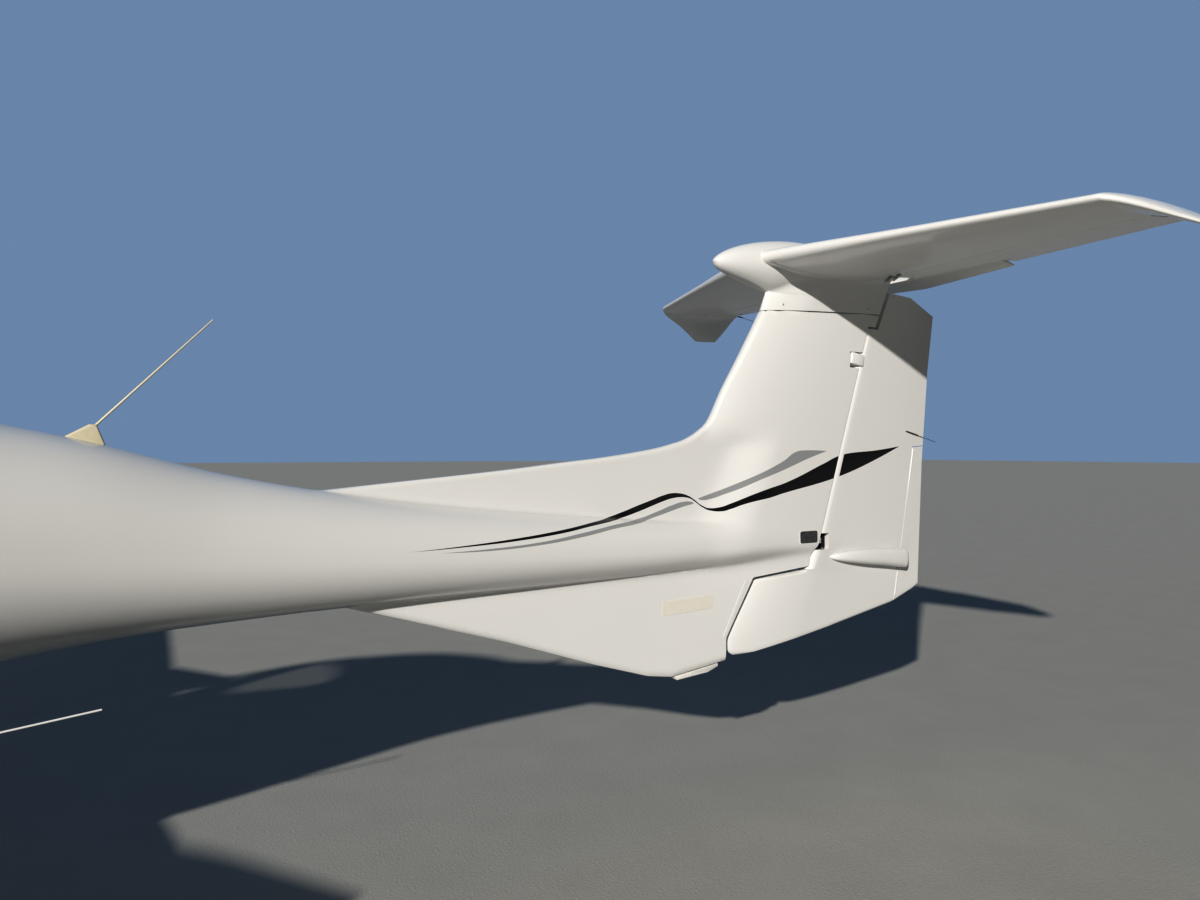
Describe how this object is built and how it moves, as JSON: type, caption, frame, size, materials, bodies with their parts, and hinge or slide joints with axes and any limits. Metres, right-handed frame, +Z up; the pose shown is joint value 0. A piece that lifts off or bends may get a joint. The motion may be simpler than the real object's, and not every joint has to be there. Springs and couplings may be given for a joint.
{
  "type": "twin-engine light aircraft",
  "caption": "Low-wing four-seat light aircraft with two wing-mounted propeller engines, slim tail boom, T-tail, winglets and tricycle gear.",
  "frame": {"origin": "on the ground, below the middle of the overall length, on the plane of symmetry", "axes": "nose towards -X, starboard wing towards +Y, up is +Z"},
  "size_m": [8.5603, 13.4476, 2.4885],
  "materials": {
    "gelcoat": "gloss",
    "clear_panel": "gloss",
    "cream": "satin",
    "steel": "satin",
    "cast_metal": "rough",
    "blade": "satin",
    "tyre_rubber": "matte",
    "alloy": "satin",
    "seat_trim": "matte",
    "carpet": "matte",
    "black_plastic": "matte"
  },
  "bodies": {
    "airframe": {"fuselage_nose": "gelcoat", "fuselage_cabin": "gelcoat", "tail_boom": "gelcoat", "stabiliser": "gelcoat", "wing_left": "gelcoat", "wing_right": "gelcoat", "cowl_left": "gelcoat", "cowl_right": "gelcoat", "main_door_left": "gelcoat", "main_door_right": "gelcoat", "nose_door_left": "gelcoat", "nose_door_right": "gelcoat", "rear_window_right": "clear_panel", "whip_antenna": "cream", "tail_skid": "steel", "main_leg_left": "steel", "main_leg_right": "steel", "main_arm_left": "steel", "main_arm_right": "steel", "nose_leg": "steel", "engine_left": "cast_metal", "engine_right": "cast_metal", "seat_front_left": "seat_trim", "seat_front_right": "seat_trim", "seat_rear": "seat_trim", "cabin_floor": "carpet", "instrument_panel": "black_plastic", "stick_left": "black_plastic", "stick_right": "black_plastic"},
    "canopy": {"canopy_frame": "gelcoat", "canopy_glass": "clear_panel"},
    "cabin_door": {"rear_door": "gelcoat", "rear_door_glass": "clear_panel"},
    "hatch_left": {"nose_hatch_left": "gelcoat"},
    "hatch_right": {"nose_hatch_right": "gelcoat"},
    "elevator": {"elevator": "gelcoat"},
    "elevator_trim": {"elevator_tab": "gelcoat"},
    "rudder": {"rudder": "gelcoat"},
    "rudder_trim": {"rudder_tab": "gelcoat"},
    "steering": {"nose_fork": "steel"},
    "nose_wheel": {"nose_wheel": "alloy", "nose_tyre": "tyre_rubber"},
    "main_wheel_left": {"main_wheel_left": "alloy", "main_tyre_left": "tyre_rubber"},
    "propeller_left": {"propeller_left": "blade", "spinner_left": "gelcoat"},
    "flap_inner_left": {"flap_inner_left": "gelcoat"},
    "flap_outer_left": {"flap_outer_left": "gelcoat"},
    "aileron_left": {"aileron_left": "gelcoat"},
    "main_wheel_right": {"main_wheel_right": "alloy", "main_tyre_right": "tyre_rubber"},
    "propeller_right": {"propeller_right": "blade", "spinner_right": "gelcoat"},
    "flap_inner_right": {"flap_inner_right": "gelcoat"},
    "flap_outer_right": {"flap_outer_right": "gelcoat"},
    "aileron_right": {"aileron_right": "gelcoat"}
  },
  "joints": [
    {"name": "canopy_hinge", "type": "hinge", "parent": "airframe", "child": "canopy", "pos_m": [-2.93, 0, 1.376], "axis": [0, -1, 0], "range_deg": [0, 60]},
    {"name": "cabin_door_hinge", "type": "hinge", "parent": "airframe", "child": "cabin_door", "pos_m": [-0.98, -0.073, 1.937], "axis": [-0.9976, 0, 0.0698], "range_deg": [0, 75]},
    {"name": "hatch_left_hinge", "type": "hinge", "parent": "airframe", "child": "hatch_left", "pos_m": [-3.58, -0.123, 1.2065], "axis": [-0.9667, 0, -0.2558], "range_deg": [0, 80]},
    {"name": "hatch_right_hinge", "type": "hinge", "parent": "airframe", "child": "hatch_right", "pos_m": [-3.58, 0.123, 1.2065], "axis": [0.9667, 0, 0.2558], "range_deg": [0, 80]},
    {"name": "elevator_hinge", "type": "hinge", "parent": "airframe", "child": "elevator", "pos_m": [3.845, 0, 2.382], "axis": [0, 1, 0], "range_deg": [-15.5, 13]},
    {"name": "elevator_tab_hinge", "type": "hinge", "parent": "elevator", "child": "elevator_trim", "pos_m": [4.095, 0, 2.382], "axis": [0, 1, 0], "range_deg": [-30, 3]},
    {"name": "rudder_hinge", "type": "hinge", "parent": "airframe", "child": "rudder", "pos_m": [3.573, 0, 1.362], "axis": [0.3065, 0, 0.9519], "range_deg": [-27, 27]},
    {"name": "rudder_tab_hinge", "type": "hinge", "parent": "rudder", "child": "rudder_trim", "pos_m": [4.06404, 0, 1.156], "axis": [0.1772, 0, 0.9842], "range_deg": [-20, 20]},
    {"name": "flap_inner_left_hinge", "type": "hinge", "parent": "airframe", "child": "flap_inner_left", "pos_m": [-0.9685, -1.0175, 0.7494], "axis": [0.0167, 0.996, -0.0882], "range_deg": [0, 42]},
    {"name": "flap_outer_left_hinge", "type": "hinge", "parent": "airframe", "child": "flap_outer_left", "pos_m": [-1.0978, -3.1, 0.9377], "axis": [0.0826, 0.9925, -0.0906], "range_deg": [0, 42]},
    {"name": "aileron_left_hinge", "type": "hinge", "parent": "airframe", "child": "aileron_left", "pos_m": [-1.2681, -5.158, 1.156], "axis": [0.0816, 0.9931, -0.0848], "range_deg": [-20, 20]},
    {"name": "flap_inner_right_hinge", "type": "hinge", "parent": "airframe", "child": "flap_inner_right", "pos_m": [-0.9685, 1.0175, 0.7494], "axis": [-0.0167, 0.996, 0.0882], "range_deg": [0, 42]},
    {"name": "flap_outer_right_hinge", "type": "hinge", "parent": "airframe", "child": "flap_outer_right", "pos_m": [-1.0978, 3.1, 0.9377], "axis": [-0.0826, 0.9925, 0.0906], "range_deg": [0, 42]},
    {"name": "aileron_right_hinge", "type": "hinge", "parent": "airframe", "child": "aileron_right", "pos_m": [-1.2681, 5.158, 1.156], "axis": [-0.0816, 0.9931, 0.0848], "range_deg": [-20, 20]},
    {"name": "nose_steering", "type": "hinge", "parent": "airframe", "child": "steering", "pos_m": [-3.18, 0, 0.45], "axis": [0, 0, 1], "range_deg": [-30, 30]},
    {"name": "nose_wheel_spin", "type": "hinge", "parent": "steering", "child": "nose_wheel", "pos_m": [-3.16, 0, 0.178], "axis": [0, 1, 0], "continuous": true},
    {"name": "main_wheel_left_spin", "type": "hinge", "parent": "airframe", "child": "main_wheel_left", "pos_m": [-1.48, -1.475, 0.19], "axis": [0, 1, 0], "continuous": true},
    {"name": "main_wheel_right_spin", "type": "hinge", "parent": "airframe", "child": "main_wheel_right", "pos_m": [-1.48, 1.475, 0.19], "axis": [0, 1, 0], "continuous": true},
    {"name": "propeller_left_spin", "type": "hinge", "parent": "airframe", "child": "propeller_left", "pos_m": [-3.305, -1.68, 1.165], "axis": [1, 0, 0], "continuous": true},
    {"name": "propeller_right_spin", "type": "hinge", "parent": "airframe", "child": "propeller_right", "pos_m": [-3.305, 1.68, 1.165], "axis": [1, 0, 0], "continuous": true}
  ],
  "couplings": [
    {"joint": "aileron_left_hinge", "follows": "aileron_right_hinge", "ratio": -1},
    {"joint": "flap_outer_left_hinge", "follows": "flap_inner_left_hinge", "ratio": 1},
    {"joint": "flap_inner_right_hinge", "follows": "flap_inner_left_hinge", "ratio": 1},
    {"joint": "flap_outer_right_hinge", "follows": "flap_inner_left_hinge", "ratio": 1}
  ]
}
